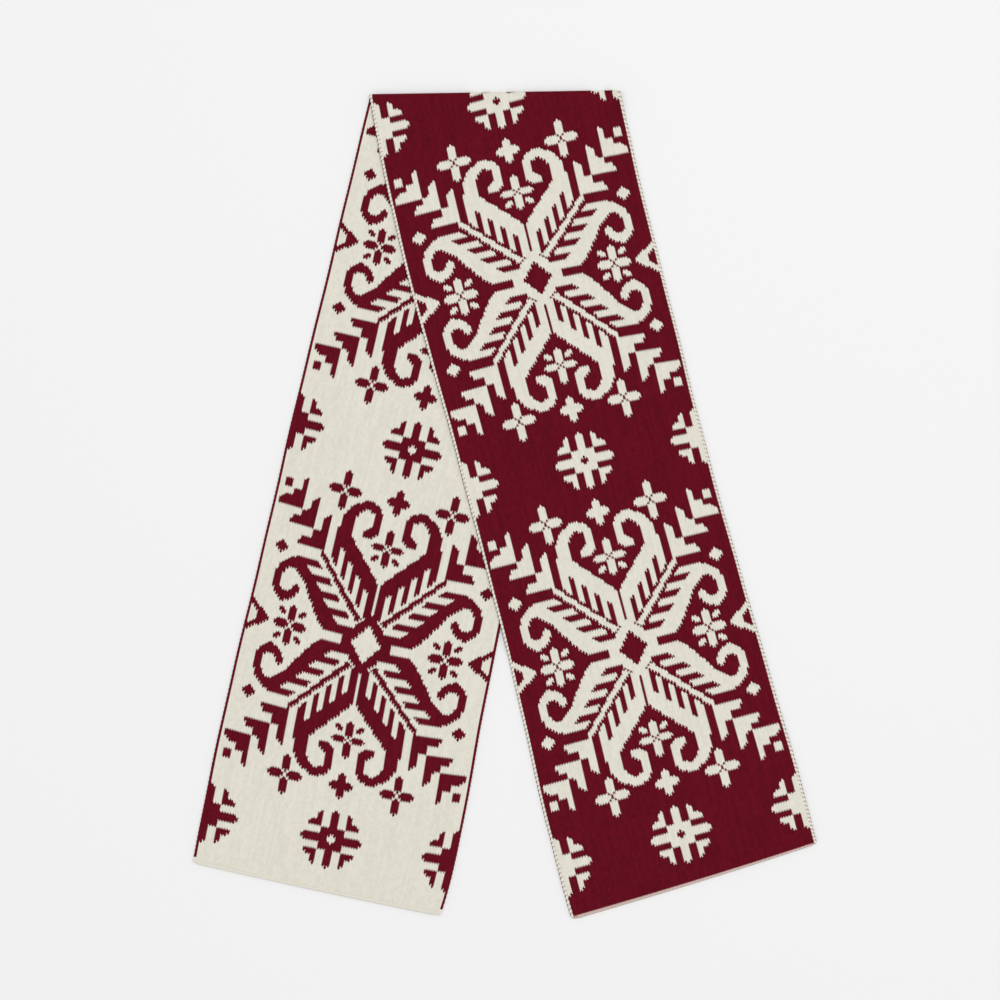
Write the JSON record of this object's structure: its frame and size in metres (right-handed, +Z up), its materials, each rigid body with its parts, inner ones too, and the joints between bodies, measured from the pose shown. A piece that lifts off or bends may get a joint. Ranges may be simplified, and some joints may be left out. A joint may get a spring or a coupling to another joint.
{
  "type": "double-knit scarf",
  "caption": "Long double-faced knitted scarf, folded once a little off square and lying flat; it opens out flat at its fold and one end turns up.",
  "frame": {"origin": "under the middle of the whole scarf's bounding box, on the surface it lies on", "axes": "+Z up out of the surface, +Y towards the fold, +X to the right, towards the upper leaf's end"},
  "size_m": [0.6858, 0.918, 0.0062],
  "materials": {
    "burgundy_knit": "matt soft yarn, burgundy, plain double-knit stitches with cream motifs",
    "cream_knit": "matt soft yarn, off-white, plain double-knit stitches with burgundy motifs",
    "selvedge_knit": "edge stitches of both yarns side by side",
    "edge_chain": "chained end row of both yarns"
  },
  "bodies": {
    "lower_leaf": {"lower_leaf_burgundy_ply": "burgundy_knit", "lower_leaf_cream_ply": "cream_knit", "lower_leaf_left_selvedge": "selvedge_knit", "lower_leaf_right_selvedge": "selvedge_knit"},
    "lower_end": {"lower_end_burgundy_ply": "burgundy_knit", "lower_end_cream_ply": "cream_knit", "lower_end_left_selvedge": "selvedge_knit", "lower_end_right_selvedge": "selvedge_knit", "cast_on_edge": "edge_chain"},
    "fold_strip": {"fold_burgundy_ply": "burgundy_knit", "fold_cream_ply": "cream_knit", "fold_left_selvedge": "selvedge_knit", "fold_right_selvedge": "selvedge_knit"},
    "upper_leaf": {"upper_leaf_burgundy_ply": "burgundy_knit", "upper_leaf_cream_ply": "cream_knit", "upper_leaf_left_selvedge": "selvedge_knit", "upper_leaf_right_selvedge": "selvedge_knit", "bound_off_edge": "edge_chain"}
  },
  "joints": [
    {"name": "fold_opening", "type": "hinge", "parent": "lower_leaf", "child": "fold_strip", "pos_m": [0.00136, 0.45726, 0.00177], "axis": [-1, 0, 0], "range_deg": [0, 90], "deforming": ["fold_burgundy_ply", "fold_cream_ply", "fold_left_selvedge", "fold_right_selvedge"]},
    {"name": "upper_leaf_opening", "type": "hinge", "parent": "fold_strip", "child": "upper_leaf", "pos_m": [0.00136, 0.45726, 0.00443], "axis": [-1, 0, 0], "range_deg": [0, 90], "deforming": ["fold_burgundy_ply", "fold_cream_ply", "fold_left_selvedge", "fold_right_selvedge"]},
    {"name": "end_turn_up", "type": "hinge", "parent": "lower_leaf", "child": "lower_end", "pos_m": [-0.14696, -0.16665, 0.0028], "axis": [-0.9728, 0.2317, 0], "range_deg": [0, 160]}
  ],
  "couplings": [
    {"joint": "upper_leaf_opening", "follows": "fold_opening", "ratio": 1}
  ]
}
